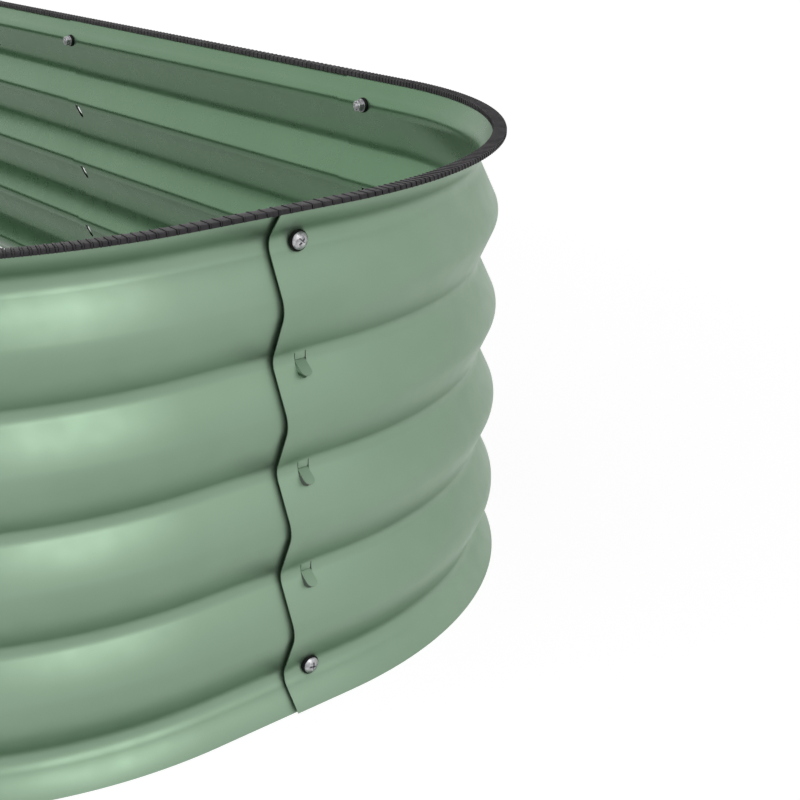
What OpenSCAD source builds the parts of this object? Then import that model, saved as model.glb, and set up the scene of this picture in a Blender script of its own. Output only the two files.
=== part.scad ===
// Raised garden bed: lapped panels of corrugated painted steel sheet, hooked and bolted into a long
// ring with rounded ends, open at the top and at the bottom, with a rubber trim on the rim.
// X runs along the bed, Y across it and Z up. The origin is the middle of the footprint, on the ground.
// Sizes are in millimetres.

/* [Wall sheet] */
// Height of the wall sheet
wall_h = 300; // [280:1:330]
// Thickness of the steel sheet
sheet_t = 0.6; // [0.5:0.1:0.9]
// Depth of the corrugation, from the middle of the sheet in a valley to its middle on a crest
corrugation_depth = 12; // [8:0.5:14]
// Height of one wave of the corrugation
wave_pitch = 64.7; // [60:0.1:66]
// Number of valleys down the wall
valley_count = 5; // [5:1:5]
// Radius of the bend in each valley, at the middle of the sheet
valley_r = 12.7; // [9:0.1:14]
// Radius of the bend on each crest, at the middle of the sheet
crest_r = 14.6; // [10:0.1:20]
// Drop from the rim to the first valley
rim_to_valley = 20.5; // [17:0.5:24]
// Reach of the rim beyond the middle of the corrugation
rim_reach = 6.4; // [4:0.1:7]
// Reach of the bottom edge beyond the middle of the corrugation
foot_reach = 7.7; // [5:0.1:9]

/* [Plan] */
// Bend radius of the corner panels at the middle of the corrugation
corner_r = 258; // [200:1:320]
// Straight stretch of an end wall on the short side of its seam
end_short_tail = 21; // [21:1:60]
// Straight stretch of an end wall on the long side of its seam
end_long_tail = 70; // [45:1:120]
// Straight stretch of a corner panel between its bend and the side seam
side_tail = 35; // [25:1:80]
// Distance between two seams along a side
seam_pitch = 486; // [300:1:600]
// Number of straight panels on each side
side_panels = 3; // [3:1:3]

/* [Seams] */
// Distance from a panel's edge to its column of bolts and hooks
bolt_inset = 18.5; // [15:0.5:20]
// Distance from the column to the end edge of a corner panel
corner_lap = 34; // [22:1:40]
// How far the starting edge of each panel lies outside the panel that it laps
lap_step = 1.9; // [1.5:0.1:2.2]
// Diameter of the bolt holes in the sheet
bolt_hole_d = 6; // [5.6:0.1:7.5]

/* [Hooks] */
// Width of the slot in the lapping panel
slot_w = 7.6; // [7.2:0.1:9]
// Height of the slot above the middle of its valley
slot_rise = 2.4; // [1.5:0.1:3]
// Depth of the slot below the middle of its valley
slot_drop = 12; // [11:0.1:13]
// Height of the lip that closes the top of the slot
lip_h = 4.3; // [3.5:0.1:4.8]
// Clearance at each side of the lip
lip_side_gap = 0.5; // [0.3:0.1:0.8]
// Inward lean of the lip, in degrees
lip_lean = 7; // [4:1:9]
// Width of the tongue on the lapped panel
tongue_w = 6.8; // [5:0.1:6.9]
// Length of the tongue from its root to its tip
tongue_l = 13; // [10:0.1:13.4]
// Outward lean of the tongue from upright, in degrees
tongue_lean = 52; // [40:1:56]
// Drop from the middle of the valley to the root of the tongue
tongue_drop = 1.4; // [1:0.1:2]
// Width of the slit round the tongue in its own panel
tongue_slit = 0.6; // [0.4:0.1:0.8]

/* [Fasteners] */
// Diameter of the bolt
bolt_d = 5; // [4:0.1:5.2]
// Length of the bolt below its head
bolt_l = 13.5; // [13.5:0.5:18]
// Diameter of the bolt head
head_d = 9.8; // [8.5:0.1:11.4]
// Height of the bolt head
head_h = 3; // [2.4:0.1:4]
// Width of the arms of the cross recess
recess_w = 1.1; // [0.8:0.1:1.5]
// Span of the cross recess
recess_span = 5.4; // [4:0.1:6.4]
// Depth of the cross recess
recess_depth = 1.6; // [1:0.1:2]
// Diameter of the rubber washers on both sides of the wall
rubber_d = 11.6; // [10.6:0.1:12]
// Thickness of the outer rubber washer where it is thinnest, on the sides of the groove
outer_rubber_t = 0.8; // [0.3:0.1:1]
// Thickness of the inner rubber washer where it is thinnest, on the ridge behind the groove
inner_rubber_t = 2; // [0.6:0.1:2.2]
// Diameter of the steel washer under the nut
steel_washer_d = 10.4; // [9.4:0.1:12]
// Thickness of the steel washer
steel_washer_t = 1; // [0.8:0.1:1.2]
// Width of the nut across its flats
nut_af = 8; // [7.6:0.1:9]
// Height of the nut
nut_h = 4; // [3.5:0.1:4.5]

/* [Edge trim] */
// Width of the rubber trim
trim_w = 8.4; // [8.2:0.1:11]
// Height of the trim's cap above the rim
trim_rise = 1.5; // [1.2:0.1:2.5]
// Thickness of the trim over the rim
trim_cap_t = 1.2; // [0.8:0.1:1.2]
// Depth of the outer leg below the rim
trim_outer_leg = 1.2; // [1:0.1:2.2]
// Depth of the inner leg below the rim
trim_inner_leg = 2.2; // [1:0.1:2.6]
// Width of the channel that takes the lapped rims
trim_channel_w = 5.6; // [5.4:0.1:6]
// Radius of the trim's top corners
trim_corner_r = 0.8; // [0.4:0.1:1]

/* [Hidden] */
// Clearance between a fastener and the sheet that it sits on
seat_gap = 0.1;
// Clearance round the shank in the nut
thread_gap = 0.05;
// Clearance round the shank in a washer
washer_gap = 0.2;
// How far every cut runs past the faces that it goes through
overrun = 1;
// How deep a tongue or a lip is rooted in its own sheet
root_depth = 0.25;
// Straight steps in each bend of the sheet
bend_steps = 7;
// Straight steps in the dome of a bolt head
dome_steps = 8;
// Steps of a full round
round_steps = 96;

// Places of the valleys and crests, from the rim down
half_depth = corrugation_depth / 2;
valley_z = [for (k = [0 : valley_count - 1]) wall_h - rim_to_valley - k * wave_pitch];
crest_z = [for (k = [0 : valley_count - 2]) valley_z[k] - wave_pitch / 2];
foot_drop = valley_z[valley_count - 1];

// Places of the plan: the side walls, the end walls and the centres of the corner bends
mid_bend_y = (end_short_tail + end_long_tail) / 2;
end_seam_y = (end_long_tail - end_short_tail) / 2;
side_wall_y = mid_bend_y + corner_r;
side_seam_x = side_panels * seam_pitch / 2;
bend_x = side_seam_x + side_tail;
end_wall_x = bend_x + corner_r;
side_tilt = atan(lap_step / seam_pitch);

// Seams as [x, y, turn], each with its wall facing local +X and its panels running towards local +Y
end_seams = [for (turn = [0, 180]) [cos(turn) * end_wall_x, cos(turn) * end_seam_y, turn]];
back_seams = [for (k = [0 : side_panels]) [side_seam_x - k * seam_pitch, side_wall_y, 90]];
front_seams = [for (k = [0 : side_panels]) [k * seam_pitch - side_seam_x, -side_wall_y, 270]];

sheet_green = "#8aa38b";
zinc_silver = "#c8c8c8";
rubber_black = "#2a292b";

// Lean from upright of a straight flank that touches two bends of summed radius r
function flank_lean(r, rise, reach) =
    asin(r / norm([rise, r - reach])) - atan2(r - reach, rise);

flank = flank_lean(valley_r + crest_r, wave_pitch / 2, corrugation_depth);
rim_flank = flank_lean(valley_r, rim_to_valley, rim_reach + half_depth);
foot_flank = flank_lean(valley_r, foot_drop, foot_reach + half_depth);

// Points on a bend of the sheet about a centre, turning from one lean to another
function bend_points(centre, r, side, from, to) =
    [for (i = [0 : bend_steps]) let (a = from + (to - from) * i / bend_steps)
        [centre[0] + side * r * cos(a), centre[1] + r * sin(a)]];

// One face of the sheet, from the rim to the foot, at an outward shift from the sheet's middle
function face_points(shift) = concat(
    [[rim_reach + shift / cos(rim_flank), wall_h]],
    [for (k = [0 : valley_count - 1]) each concat(
        bend_points([valley_r - half_depth, valley_z[k]], valley_r - shift, -1,
            k == 0 ? rim_flank : flank, k == valley_count - 1 ? -foot_flank : -flank),
        k == valley_count - 1 ? [] :
            bend_points([half_depth - crest_r, crest_z[k]], crest_r + shift, 1, flank, -flank))],
    [[foot_reach + shift / cos(foot_flank), 0]]
);

function reversed(list) = [for (i = [len(list) - 1 : -1 : 0]) list[i]];

// Section of the sheet: outward reach across, height up
module sheet_section() {
    polygon(concat(face_points(sheet_t / 2), reversed(face_points(-sheet_t / 2))));
}

// Straight stretch of sheet on local +X that runs along Y
module sheet_run(from, to) {
    translate([0, to, 0]) rotate([90, 0, 0]) linear_extrude(to - from) sheet_section();
}

// Where the sheet's middle lies on local X at the bottom of a valley
valley_x = -half_depth;
hook_valleys = [for (k = [1 : valley_count - 2]) valley_z[k]];
bolt_valleys = [valley_z[0], valley_z[valley_count - 1]];

module bolt_holes() {
    for (z = bolt_valleys)
        translate([valley_x, 0, z]) rotate([0, 90, 0])
            cylinder(h = corrugation_depth, d = bolt_hole_d, center = true, $fn = round_steps);
}

// Upright outline with a round foot, drawn in Y and Z and cut through along X
module round_foot_cut(w, top, bottom) {
    rotate([90, 0, 90]) linear_extrude(corrugation_depth, center = true) union() {
        translate([-w / 2, bottom + w / 2]) square([w, top - bottom - w / 2]);
        translate([0, bottom + w / 2]) circle(d = w, $fn = round_steps);
    }
}

// Slots and bolt holes at the starting edge of a panel
module start_cuts() {
    bolt_holes();
    for (z = hook_valleys) translate([valley_x, 0, z]) round_foot_cut(slot_w, slot_rise, -slot_drop);
}

// Lips that hang from the tops of the slots and lean inwards
module start_lips() {
    lip_w = slot_w - 2 * lip_side_gap;
    lip_root_x = valley_x + valley_r - sqrt(pow(valley_r, 2) - pow(slot_rise, 2));
    for (z = hook_valleys)
        translate([lip_root_x, 0, z + slot_rise]) rotate([0, lip_lean, 0])
            translate([-sheet_t / 2, -lip_w / 2, -lip_h]) cube([sheet_t, lip_w, lip_h + root_depth]);
}

// Openings that the tongues leave in their own panel, and its bolt holes
module end_cuts() {
    bolt_holes();
    for (z = hook_valleys)
        translate([valley_x, 0, z - tongue_drop])
            round_foot_cut(tongue_w + 2 * tongue_slit, 0, -tongue_l - tongue_slit);
}

// Tongues that are pressed outwards from the lapped panel
module end_tongues() {
    root_x = valley_x + valley_r - sqrt(pow(valley_r, 2) - pow(tongue_drop, 2));
    straight_l = tongue_l - tongue_w / 2;
    for (z = hook_valleys)
        translate([root_x, 0, z - tongue_drop]) rotate([0, -tongue_lean, 0])
            translate([-sheet_t / 2, 0, 0]) rotate([90, 0, 90]) linear_extrude(sheet_t) union() {
                translate([-tongue_w / 2, -straight_l]) square([tongue_w, straight_l + root_depth]);
                translate([0, -straight_l]) circle(d = tongue_w, $fn = round_steps);
            }
}

// Quarter bend about the origin with a straight tail at each end
module corner_panel(start_tail, end_tail) {
    color(sheet_green) {
        difference() {
            union() {
                translate([corner_r, 0, 0]) sheet_run(-start_tail - bolt_inset, 0);
                rotate_extrude(angle = 90, $fn = round_steps) translate([corner_r, 0]) sheet_section();
                rotate([0, 0, 90]) translate([corner_r, 0, 0]) sheet_run(0, end_tail + corner_lap);
            }
            translate([corner_r, -start_tail, 0]) start_cuts();
            rotate([0, 0, 90]) translate([corner_r, end_tail, 0]) end_cuts();
        }
        translate([corner_r, -start_tail, 0]) start_lips();
        rotate([0, 0, 90]) translate([corner_r, end_tail, 0]) end_tongues();
    }
}

// Straight panel from one seam to the next, leaning so that its start lies outside its end
module side_panel() {
    color(sheet_green) translate([lap_step, 0, 0]) rotate([0, 0, side_tilt]) {
        difference() {
            sheet_run(-bolt_inset, seam_pitch + bolt_inset);
            start_cuts();
            translate([0, seam_pitch, 0]) end_cuts();
        }
        start_lips();
        translate([0, seam_pitch, 0]) end_tongues();
    }
}

module at_seam(seam) {
    translate([seam[0], seam[1], 0]) rotate([0, 0, seam[2]]) children();
}

module corner_from_end(turn) {
    rotate([0, 0, turn]) translate([bend_x + lap_step, mid_bend_y, 0])
        corner_panel(end_short_tail, side_tail + lap_step);
}

module corner_to_end(turn) {
    rotate([0, 0, turn]) translate([bend_x, -mid_bend_y - lap_step, 0]) rotate([0, 0, -90])
        corner_panel(side_tail, end_long_tail + lap_step);
}

module corner_panel_right_back() corner_from_end(0);
module corner_panel_left_front() corner_from_end(180);
module corner_panel_right_front() corner_to_end(0);
module corner_panel_left_back() corner_to_end(180);
module side_panel_back_right() at_seam(back_seams[0]) side_panel();
module side_panel_back_middle() at_seam(back_seams[1]) side_panel();
module side_panel_back_left() at_seam(back_seams[2]) side_panel();
module side_panel_front_left() at_seam(front_seams[0]) side_panel();
module side_panel_front_middle() at_seam(front_seams[1]) side_panel();
module side_panel_front_right() at_seam(front_seams[2]) side_panel();

// Channel section of the trim, with its middle on the middle of the lapped rims
trim_mid = rim_reach + lap_step / 2;
trim_top = wall_h + trim_rise;
trim_channel_shift = (trim_inner_leg - trim_outer_leg) / 2;

module trim_section() {
    difference() {
        union() {
            translate([-trim_w / 2, wall_h - trim_outer_leg])
                square([trim_w, trim_rise + trim_outer_leg - trim_corner_r]);
            translate([trim_corner_r - trim_w / 2, trim_top - trim_corner_r])
                square([trim_w - 2 * trim_corner_r, trim_corner_r]);
            for (side = [-1, 1])
                translate([side * (trim_w / 2 - trim_corner_r), trim_top - trim_corner_r])
                    circle(r = trim_corner_r, $fn = round_steps);
            translate([-trim_w / 2, wall_h - trim_inner_leg])
                square([trim_w / 2, trim_inner_leg - trim_outer_leg]);
        }
        translate([-trim_channel_w / 2 - trim_channel_shift, wall_h - trim_inner_leg - overrun])
            square([trim_channel_w, trim_inner_leg + overrun + trim_rise - trim_cap_t]);
    }
}

// Half of the rim's trim: one end of the bed, from the middle of one side to the middle of the other
module edge_trim(turn) {
    color(rubber_black) rotate([0, 0, turn]) {
        for (side = [-1, 1]) {
            translate([0, side * side_wall_y, 0]) rotate([0, 0, side * 90])
                translate([trim_mid, side > 0 ? 0 : bend_x, 0]) rotate([90, 0, 0])
                    linear_extrude(bend_x) trim_section();
            translate([bend_x, side * mid_bend_y, 0]) rotate([0, 0, side > 0 ? 0 : -90])
                rotate_extrude(angle = 90, $fn = round_steps)
                    translate([corner_r + trim_mid, 0]) trim_section();
        }
        translate([end_wall_x + trim_mid, mid_bend_y, 0]) rotate([90, 0, 0])
            linear_extrude(2 * mid_bend_y) trim_section();
    }
}

module edge_trim_right() edge_trim(0);
module edge_trim_left() edge_trim(180);

// Stack of each bolt along local +X. The rubber washers are pressed into the shape of the sheet.
groove_r = valley_r - sheet_t / 2;
groove_rise = groove_r - sqrt(pow(groove_r, 2) - pow(rubber_d / 2, 2));
head_x = valley_x + lap_step + sheet_t / 2 + seat_gap + groove_rise + outer_rubber_t;
inner_rubber_x = valley_x - sheet_t / 2 - seat_gap - inner_rubber_t;
steel_washer_x = inner_rubber_x - steel_washer_t;
nut_x = steel_washer_x - nut_h;

// Puts its children at both bolts of every seam, with local +Z pointing out of the wall
module at_bolts(seams, x) {
    for (seam = seams) at_seam(seam)
        for (z = bolt_valleys) translate([x, 0, z]) rotate([0, 90, 0]) children();
}

// Domed head with a cross recess, on a plain shank
module bolt() {
    dome_r = (pow(head_d / 2, 2) + pow(head_h, 2)) / (2 * head_h);
    dome_span = asin(head_d / 2 / dome_r);
    difference() {
        rotate_extrude($fn = round_steps) polygon(concat(
            [[0, 0], [head_d / 2, 0]],
            [for (i = [1 : dome_steps - 1]) let (a = dome_span * (1 - i / dome_steps))
                [dome_r * sin(a), head_h - dome_r * (1 - cos(a))]],
            [[0, head_h]]));
        for (turn = [0, 90]) rotate([0, 0, turn])
            translate([-recess_span / 2, -recess_w / 2, head_h - recess_depth])
                cube([recess_span, recess_w, recess_depth + overrun]);
    }
    translate([0, 0, -bolt_l]) cylinder(h = bolt_l, d = bolt_d, $fn = round_steps);
}

module washer(d, t) {
    difference() {
        cylinder(h = t, d = d, $fn = round_steps);
        translate([0, 0, -overrun])
            cylinder(h = t + 2 * overrun, d = bolt_d + 2 * washer_gap, $fn = round_steps);
    }
}

// Space on one side of the sheet round a seam: 1 is outside, -1 is inside
module beyond_sheet(side) {
    far_x = side * 2 * corrugation_depth;
    rotate([90, 0, 0]) linear_extrude(2 * rubber_d, center = true)
        polygon(concat(face_points(side * (sheet_t / 2 + seat_gap)), [[far_x, 0], [far_x, wall_h]]));
}

// Rubber washers at both bolts of every seam, between the sheet and an upright plane on local X
module rubbers(seams, side, sheet_shift, plane_x) {
    color(rubber_black) for (seam = seams) at_seam(seam) intersection() {
        translate([sheet_shift, 0, 0]) beyond_sheet(side);
        for (z = bolt_valleys) translate([plane_x, 0, z]) rotate([0, -side * 90, 0])
            washer(rubber_d, half_depth);
    }
}

module nut() {
    difference() {
        cylinder(h = nut_h, d = nut_af / cos(30), $fn = 6);
        translate([0, 0, -overrun])
            cylinder(h = nut_h + 2 * overrun, d = bolt_d + 2 * thread_gap, $fn = round_steps);
    }
}

module bolts(seams) color(zinc_silver) at_bolts(seams, head_x) bolt();
module outer_rubbers(seams) rubbers(seams, 1, lap_step, head_x);
module inner_rubbers(seams) rubbers(seams, -1, 0, inner_rubber_x);
module steel_washers(seams) color(zinc_silver) at_bolts(seams, steel_washer_x)
    washer(steel_washer_d, steel_washer_t);
module nuts(seams) color(zinc_silver) at_bolts(seams, nut_x) nut();

corner_panel_right_back();
side_panel_back_right();
side_panel_back_middle();
side_panel_back_left();
corner_panel_left_back();
corner_panel_left_front();
side_panel_front_left();
side_panel_front_middle();
side_panel_front_right();
corner_panel_right_front();
edge_trim_right();
edge_trim_left();
bolts(end_seams);  // bolts_end_seams
bolts(back_seams);  // bolts_back_seams
bolts(front_seams);  // bolts_front_seams
outer_rubbers(end_seams);  // outer_rubbers_end_seams
outer_rubbers(back_seams);  // outer_rubbers_back_seams
outer_rubbers(front_seams);  // outer_rubbers_front_seams
inner_rubbers(end_seams);  // inner_rubbers_end_seams
inner_rubbers(back_seams);  // inner_rubbers_back_seams
inner_rubbers(front_seams);  // inner_rubbers_front_seams
steel_washers(end_seams);  // steel_washers_end_seams
steel_washers(back_seams);  // steel_washers_back_seams
steel_washers(front_seams);  // steel_washers_front_seams
nuts(end_seams);  // nuts_end_seams
nuts(back_seams);  // nuts_back_seams
nuts(front_seams);  // nuts_front_seams
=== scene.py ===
"""Looks of a raised garden bed: a bottomless ring of lapped, hooked and bolted corrugated steel panels.

Lengths are in metres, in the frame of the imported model: X along the bed, Y across it and Z up.
A wall is built in its own sheet coordinates and formed afterwards, as the real one is: along is the
distance round the bed, reach is the distance outwards from the middle of the corrugation, and
height is the distance above the ground.
"""

import logging
import math
from dataclasses import dataclass, field
from enum import Enum
from typing import Any, Iterable, Sequence

import bmesh
import bpy
import numpy as np
from bpy.types import ID, Material, Mesh, Node, NodesModifier, NodeSocket, NodeTree, Object, World
from mathutils import Euler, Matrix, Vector
from mathutils.geometry import delaunay_2d_cdt

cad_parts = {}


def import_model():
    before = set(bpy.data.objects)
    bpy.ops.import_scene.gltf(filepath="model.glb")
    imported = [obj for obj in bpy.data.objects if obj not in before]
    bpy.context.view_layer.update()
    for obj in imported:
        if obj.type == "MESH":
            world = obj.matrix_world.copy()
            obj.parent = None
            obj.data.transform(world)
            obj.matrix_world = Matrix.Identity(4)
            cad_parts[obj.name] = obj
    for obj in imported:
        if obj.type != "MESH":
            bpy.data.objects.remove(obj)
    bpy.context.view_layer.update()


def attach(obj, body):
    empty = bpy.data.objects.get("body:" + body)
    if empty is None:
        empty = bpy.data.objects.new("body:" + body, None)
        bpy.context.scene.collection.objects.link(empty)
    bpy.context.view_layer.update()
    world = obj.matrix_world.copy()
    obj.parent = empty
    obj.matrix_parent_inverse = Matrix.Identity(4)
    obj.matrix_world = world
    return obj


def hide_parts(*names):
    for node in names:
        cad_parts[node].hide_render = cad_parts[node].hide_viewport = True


MM = 0.001
NOISE_RANGE = (0.3, 0.7)
WHITE = (1.0, 1.0, 1.0, 1.0)
BODY = "root"
LOG = logging.getLogger("garden_bed")

Pair = tuple[float, float]
Point2 = tuple[float, float]
Point3 = tuple[float, float, float]
Face = tuple[int, ...]
Shell = tuple[list[Point3], list[Face], list[int]]


class Slot(Enum):
    """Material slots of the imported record."""

    SHEET = "painted_sheet"
    TRIM = "edge_rubber"
    ZINC = "zinc_steel"
    WASHER = "washer_rubber"


class Side(Enum):
    """What a face of a panel is: the sheet's outer or inner face, as a sign, a cut edge, or a tab's face."""

    OUTER = 1
    CUT = 0
    INNER = -1
    TAB = 2


class SeamRow(Enum):
    """The rows of seams that share one node for each kind of fastener."""

    END = "end_seams"
    BACK = "back_seams"
    FRONT = "front_seams"


def hex_to_linear(code: str) -> tuple[float, float, float, float]:
    """Turns an sRGB hex colour into linear RGBA.

    Args:
        code: Six hex digits, with or without a leading hash.

    Returns:
        Linear red, green, blue and an alpha of one.
    """
    digits = code.lstrip("#")
    channels = [int(digits[i:i + 2], 16) / 255 for i in (0, 2, 4)]
    linear = [c / 12.92 if c <= 0.04045 else ((c + 0.055) / 1.055) ** 2.4 for c in channels]
    return linear[0], linear[1], linear[2], 1.0


def add_node(
    tree: NodeTree,
    kind: str,
    inputs: dict[Any, Any] | None = None,
    **settings: Any,
) -> Node:
    """Adds a node to a shader or geometry tree.

    Args:
        tree: The tree that gets the node.
        kind: The node's type name.
        inputs: Input name or index to the socket that feeds it, to a node whose first output
            feeds it, or to its plain value.
        **settings: Properties of the node itself.

    Returns:
        The new node.
    """
    node = tree.nodes.new(kind)
    for name, value in settings.items():
        setattr(node, name, value)
    for key, value in (inputs or {}).items():
        source = value.outputs[0] if isinstance(value, Node) else value
        if isinstance(source, NodeSocket):
            tree.links.new(source, node.inputs[key])
        else:
            node.inputs[key].default_value = source
    return node


def link_object(name: str, data: ID) -> Object:
    """Puts data into the scene as an object at the origin."""
    piece = bpy.data.objects.new(name, data)
    bpy.context.scene.collection.objects.link(piece)
    return piece


def mesh_from(name: str, points: Sequence[Sequence[float]], faces: Iterable[Sequence[int]]) -> Mesh:
    """Makes a mesh from points and faces."""
    mesh = bpy.data.meshes.new(name)
    mesh.from_pydata([tuple(map(float, p)) for p in points], [], [tuple(map(int, f)) for f in faces])
    mesh.update()
    return mesh


def tube_faces(count: int, rings: int) -> list[Face]:
    """Lists the faces of a closed tube: the first end, the walls ring by ring, and the last end.

    Args:
        count: Points in each ring.
        rings: Rings along the tube.

    Returns:
        Faces that point outwards where a ring turns left as seen from the last end.
    """
    last = count * (rings - 1)
    walls = [(a + i, a + (i + 1) % count, a + count + (i + 1) % count, a + count + i)
             for a in range(0, last, count) for i in range(count)]
    return [tuple(range(count - 1, -1, -1)), *walls, tuple(range(last, last + count))]


def smooth_by_angle(mesh: Mesh, degrees: float) -> None:
    """Shades a mesh smooth, with edges sharper than the angle kept crisp."""
    mesh.shade_smooth()
    mesh.set_sharp_from_angle(angle=math.radians(degrees))


def poly_curve(name: str, points: Sequence[Point3]) -> Object:
    """Makes a hidden helper curve through points, for a node tree to follow."""
    data = bpy.data.curves.new(name, "CURVE")
    data.dimensions = "3D"
    spline = data.splines.new("POLY")
    spline.points.add(len(points) - 1)
    for point, place in zip(spline.points, points):
        point.co = (*place, 1.0)
    return link_object(name, data)


def set_inputs(modifier: NodesModifier, values: dict[str, Any]) -> None:
    """Sets a node modifier's named inputs by the identifiers of their sockets."""
    identifiers = {
        item.name: item.identifier
        for item in modifier.node_group.interface.items_tree
        if item.item_type == "SOCKET" and item.in_out == "INPUT"
    }
    for name, value in values.items():
        modifier[identifiers[name]] = value


def apply_modifiers(piece: Object) -> None:
    """Turns what a piece's modifiers make into its own plain mesh, and removes them."""
    bpy.context.view_layer.update()
    evaluated = piece.evaluated_get(bpy.context.evaluated_depsgraph_get())
    result = bpy.data.meshes.new_from_object(evaluated)
    piece.modifiers.clear()
    piece.data = result


def empty_tree(owner: Material | World) -> NodeTree:
    """Gives a material or a world an empty node tree."""
    owner.use_nodes = True
    owner.node_tree.nodes.clear()
    return owner.node_tree


def grow(name: str, base: Mesh, tree: NodeTree, values: dict[str, Any]) -> Object:
    """Runs a node tree on a mesh and keeps the result as a plain mesh.

    Args:
        name: The finished object's name.
        base: The mesh that goes into the tree.
        tree: The geometry node tree.
        values: The tree's inputs by name.

    Returns:
        An object at the origin that holds the result and has no modifier.
    """
    piece = link_object(name, base)
    modifier = piece.modifiers.new("form", "NODES")
    modifier.node_group = tree
    set_inputs(modifier, values)
    apply_modifiers(piece)
    piece.data.name = name
    return piece


def new_tree(name: str, sockets: dict[str, str]) -> tuple[NodeTree, Node]:
    """Starts a geometry node tree.

    Args:
        name: The tree's name.
        sockets: Input name to socket type, besides the geometry and the finish.

    Returns:
        The tree and its group input node.
    """
    tree = bpy.data.node_groups.new(name, "GeometryNodeTree")
    tree.interface.new_socket("Geometry", in_out="INPUT", socket_type="NodeSocketGeometry")
    for label, kind in {**sockets, "Finish": "NodeSocketMaterial"}.items():
        tree.interface.new_socket(label, in_out="INPUT", socket_type=kind)
    tree.interface.new_socket("Geometry", in_out="OUTPUT", socket_type="NodeSocketGeometry")
    return tree, add_node(tree, "NodeGroupInput")


def end_tree(tree: NodeTree, entry: Node, made: Node) -> NodeTree:
    """Ends a geometry node tree with real meshes in the finish, and returns it."""
    real = add_node(tree, "GeometryNodeRealizeInstances", {"Geometry": made})
    done = add_node(tree, "GeometryNodeSetMaterial", {"Geometry": real, "Material": entry.outputs["Finish"]})
    add_node(tree, "NodeGroupOutput", {"Geometry": done})
    return tree


@dataclass(frozen=True)
class SheetProfile:
    """Corrugated section of the wall, as a line through the middle of the sheet."""

    wall_h: float = 300 * MM
    sheet_t: float = 0.6 * MM
    depth: float = 12 * MM
    pitch: float = 64.7 * MM
    valleys: int = 5
    valley_r: float = 12.7 * MM
    crest_r: float = 14.6 * MM
    rim_to_valley: float = 20.5 * MM
    rim_reach: float = 6.4 * MM
    foot_reach: float = 7.7 * MM

    @property
    def valley_heights(self) -> list[float]:
        """Heights of the valleys, from the rim down."""
        return [self.wall_h - self.rim_to_valley - k * self.pitch for k in range(self.valleys)]

    @property
    def valley_reach(self) -> float:
        """Reach of the sheet's middle at the bottom of a valley."""
        return -self.depth / 2

    @staticmethod
    def lean(r: float, rise: float, reach: float) -> float:
        """Lean from upright, in radians, of a straight flank between two bends of summed radius r."""
        return math.asin(r / math.hypot(rise, r - reach)) - math.atan2(r - reach, rise)

    def leans(self) -> tuple[float, float, float]:
        """Leans of the flank at the rim, of those between bends and of the one at the foot."""
        half = self.depth / 2
        return (
            self.lean(self.valley_r, self.rim_to_valley, self.rim_reach + half),
            self.lean(self.valley_r + self.crest_r, self.pitch / 2, self.depth),
            self.lean(self.valley_r, self.valley_heights[-1], self.foot_reach + half),
        )

    def line(self, steps: int) -> list[Point2]:
        """Reach and height down the sheet, from the rim to the foot.

        Args:
            steps: Straight steps in each bend.

        Returns:
            Points of the line, with each flank cut once in its middle.
        """
        rim, flank, foot = self.leans()
        half = self.depth / 2
        line = [(self.rim_reach, self.wall_h)]
        for k, height in enumerate(self.valley_heights):
            last = k == self.valleys - 1
            bends = [(self.valley_r - half, height, -self.valley_r,
                      rim if k == 0 else flank, foot if last else flank)]
            if not last:
                bends.append((half - self.crest_r, height - self.pitch / 2, self.crest_r, flank, flank))
            for reach, middle, r, above, below in bends:
                arc = [(reach + r * math.cos(a), middle + abs(r) * math.sin(a))
                       for a in np.linspace(above, -below, steps + 1)]
                line.append(((line[-1][0] + arc[0][0]) / 2, (line[-1][1] + arc[0][1]) / 2))
                line.extend(arc)
        line.append(((line[-1][0] + self.foot_reach) / 2, line[-1][1] / 2))
        line.append((self.foot_reach, 0.0))
        return line

    def rise_at(self, drop: float) -> float:
        """Reach of a valley's middle line at a height above or below the bottom of the valley."""
        return self.valley_reach + self.valley_r - math.sqrt(self.valley_r ** 2 - drop ** 2)


@dataclass(frozen=True)
class HookShape:
    """Slot and lip of a lapping panel, and tongue of the panel that it laps."""

    slot_w: float = 7.6 * MM
    slot_rise: float = 2.4 * MM
    slot_drop: float = 12 * MM
    lip_h: float = 4.3 * MM
    lip_side_gap: float = 0.5 * MM
    lip_lean: float = math.radians(7)
    lip_bend: float = 0.8 * MM
    lip_tip: float = 0.5 * MM
    lip_tip_in: float = 0.4 * MM
    tongue_w: float = 6.8 * MM
    tongue_l: float = 13 * MM
    tongue_lean: float = math.radians(52)
    tongue_drop: float = 1.4 * MM
    tongue_slit: float = 0.6 * MM
    tongue_bend: float = 1.2 * MM
    tip_turn: float = math.pi / 2.2
    root_depth: float = 0.25 * MM


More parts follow.
